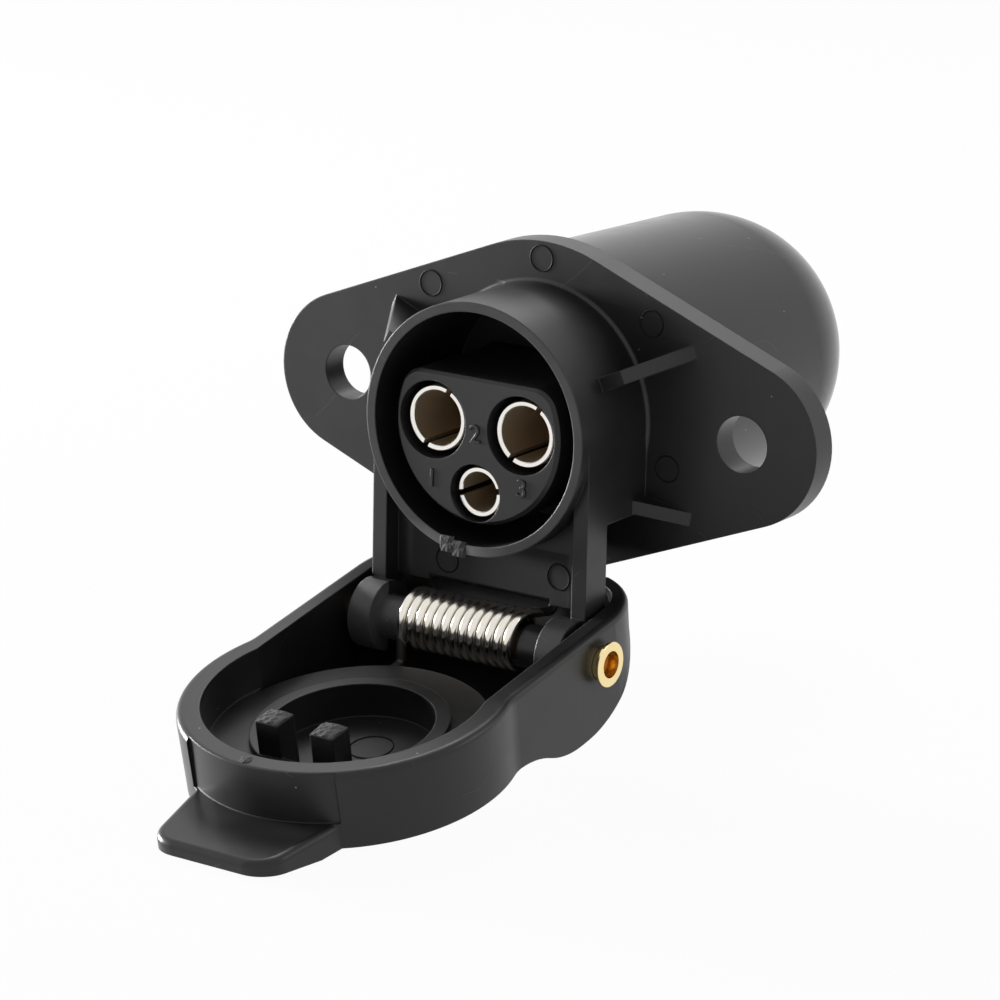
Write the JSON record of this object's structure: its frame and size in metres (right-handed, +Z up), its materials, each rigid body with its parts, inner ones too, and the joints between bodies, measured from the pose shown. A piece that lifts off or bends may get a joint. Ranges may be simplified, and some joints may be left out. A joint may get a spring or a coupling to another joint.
{
  "type": "trailer connector socket",
  "caption": "Flanged panel socket for a trailer plug, with split contact sleeves, a spring-loaded hinged lid with a thumb tab and a push-on rear cap.",
  "frame": {"origin": "on the collar's axis, in the flange's front face, midway between the two fixing holes", "axes": "+X along the two fixing holes, +Y through the panel towards the rear cap, +Z up, away from the lid's hinge"},
  "size_m": [0.073, 0.1195, 0.0567],
  "materials": {
    "housing_plastic": "moulded, fine satin",
    "lid_plastic": "moulded, fine satin",
    "cap_plastic": "smooth soft moulding, semi-gloss",
    "insert_plastic": "moulded, fine satin",
    "plated_brass": "bright nickel plate",
    "zinc_screw": "zinc plated",
    "rivet_brass": "bright brass",
    "spring_wire": "bright drawn wire, plated"
  },
  "bodies": {
    "socket": {"housing": "housing_plastic", "rear_cap": "cap_plastic", "contact_insert": "insert_plastic", "contact_retainer": "insert_plastic", "contact_left": "plated_brass", "contact_right": "plated_brass", "contact_small": "plated_brass", "terminal_screw_left": "zinc_screw", "terminal_screw_right": "zinc_screw", "terminal_screw_small": "zinc_screw", "retainer_screw_top": "zinc_screw", "retainer_screw_left": "zinc_screw", "retainer_screw_right": "zinc_screw", "hinge_rivet": "rivet_brass", "torsion_spring": "spring_wire"},
    "lid": {"lid": "lid_plastic"}
  },
  "joints": [
    {"name": "lid_hinge", "type": "hinge", "parent": "socket", "child": "lid", "pos_m": [0, -0.01306, -0.02386], "axis": [-1, 0, 0], "range_deg": [0, 101.4], "deforming": ["torsion_spring"]}
  ]
}
